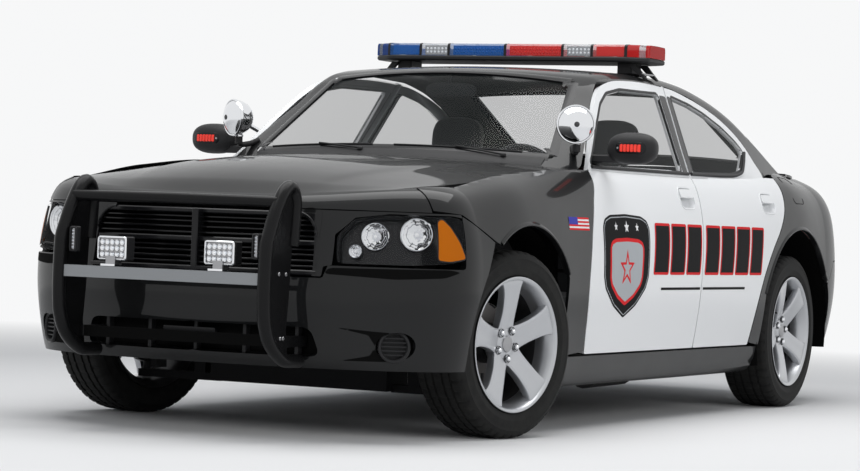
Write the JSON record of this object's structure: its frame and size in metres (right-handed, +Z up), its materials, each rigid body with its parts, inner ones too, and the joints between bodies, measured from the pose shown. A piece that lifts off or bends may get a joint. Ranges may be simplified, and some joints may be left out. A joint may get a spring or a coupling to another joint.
{
  "type": "police patrol car",
  "caption": "Four-door police saloon with a light bar, push bumper, spotlights, opening doors, hood and trunk lid, and steered spoked wheels.",
  "frame": {"origin": "centre of the bounding box's underside, on the ground", "axes": "+X forward, +Y to the car's left, +Z up"},
  "size_m": [5.2808, 2.16, 1.612],
  "materials": {
    "black_paint": "gloss black paint",
    "white_paint": "gloss white paint",
    "dark_trim": "dark moulded trim",
    "lamp": "clear lamp with bright reflectors",
    "glass": "lightly tinted glass",
    "red_lens": "red lamp lens",
    "cast_block": "cast",
    "steel": "plain steel",
    "black_steel": "black powder coat",
    "alloy": "silver lacquer",
    "tyre": "black rubber",
    "cloth": "dark cloth",
    "bar_lens": "coloured light bar lenses",
    "chrome": "bright chrome"
  },
  "bodies": {
    "body": {"fender_left": "black_paint", "fender_right": "black_paint", "front_bumper": "black_paint", "grille": "dark_trim", "headlamp_left": "lamp", "headlamp_right": "lamp", "quarter_left": "black_paint", "quarter_right": "black_paint", "rear_bumper": "black_paint", "tail_lamp_left": "red_lens", "tail_lamp_right": "red_lens", "roof": "black_paint", "windshield": "glass", "rear_glass": "glass", "floor_pan": "dark_trim", "engine": "cast_block", "exhaust": "steel", "front_crossmember": "steel", "rear_axle": "steel", "seat_left": "cloth", "seat_right": "cloth", "rear_seat": "cloth", "dashboard": "dark_trim", "steering_wheel": "dark_trim", "light_bar_base": "dark_trim", "light_bar_lens": "bar_lens", "push_bumper": "black_steel", "takedown_lamp_left": "lamp", "takedown_lamp_right": "lamp", "spotlight_left": "chrome", "spotlight_right": "chrome"},
    "hood": {"hood": "black_paint"},
    "trunk_lid": {"trunk_lid": "black_paint"},
    "door_front_left": {"door_front_left": "white_paint", "window_front_left": "glass", "mirror_left": "dark_trim"},
    "door_front_right": {"door_front_right": "white_paint", "window_front_right": "glass", "mirror_right": "dark_trim"},
    "door_rear_left": {"door_rear_left": "white_paint", "window_rear_left": "glass"},
    "door_rear_right": {"door_rear_right": "white_paint", "window_rear_right": "glass"},
    "steer_left": {"knuckle_left": "steel"},
    "steer_right": {"knuckle_right": "steel"},
    "wheel_front_left": {"rim_front_left": "alloy", "tyre_front_left": "tyre"},
    "wheel_front_right": {"rim_front_right": "alloy", "tyre_front_right": "tyre"},
    "wheel_rear_left": {"rim_rear_left": "alloy", "tyre_rear_left": "tyre"},
    "wheel_rear_right": {"rim_rear_right": "alloy", "tyre_rear_right": "tyre"}
  },
  "joints": [
    {"name": "steer_left", "type": "hinge", "parent": "body", "child": "steer_left", "pos_m": [1.488, 0.74, 0.356], "axis": [0, 0, 1], "range_deg": [-22.5, 47.5]},
    {"name": "steer_right", "type": "hinge", "parent": "body", "child": "steer_right", "pos_m": [1.488, -0.74, 0.356], "axis": [0, 0, 1], "range_deg": [-22.5, 47.5]},
    {"name": "wheel_front_left", "type": "hinge", "parent": "steer_left", "child": "wheel_front_left", "pos_m": [1.50099, 0.79858, 0.356], "axis": [0.2164, 0.9763, 0], "continuous": true},
    {"name": "wheel_front_right", "type": "hinge", "parent": "steer_right", "child": "wheel_front_right", "pos_m": [1.47501, -0.79858, 0.356], "axis": [0.2164, 0.9763, 0], "continuous": true},
    {"name": "wheel_rear_left", "type": "hinge", "parent": "body", "child": "wheel_rear_left", "pos_m": [-1.56, 0.8, 0.356], "axis": [0, 1, 0], "continuous": true},
    {"name": "wheel_rear_right", "type": "hinge", "parent": "body", "child": "wheel_rear_right", "pos_m": [-1.56, -0.8, 0.356], "axis": [0, 1, 0], "continuous": true},
    {"name": "door_front_left", "type": "hinge", "parent": "body", "child": "door_front_left", "pos_m": [0.876, 0.93, 0.64], "axis": [0, 0, -1], "range_deg": [0, 65]},
    {"name": "door_rear_left", "type": "hinge", "parent": "body", "child": "door_rear_left", "pos_m": [-0.342, 0.925, 0.64], "axis": [0, 0, -1], "range_deg": [0, 65]},
    {"name": "door_front_right", "type": "hinge", "parent": "body", "child": "door_front_right", "pos_m": [0.876, -0.93, 0.64], "axis": [0, 0, 1], "range_deg": [0, 65]},
    {"name": "door_rear_right", "type": "hinge", "parent": "body", "child": "door_rear_right", "pos_m": [-0.342, -0.925, 0.64], "axis": [0, 0, 1], "range_deg": [0, 65]},
    {"name": "hood_hinge", "type": "hinge", "parent": "body", "child": "hood", "pos_m": [0.848, 0, 1.02], "axis": [0, -1, 0], "range_deg": [0, 50]},
    {"name": "trunk_lid_hinge", "type": "hinge", "parent": "body", "child": "trunk_lid", "pos_m": [-1.562, 0, 0.9], "axis": [0, 1, 0], "range_deg": [0, 60]}
  ],
  "couplings": [
    {"joint": "steer_right", "follows": "steer_left", "ratio": 1}
  ]
}
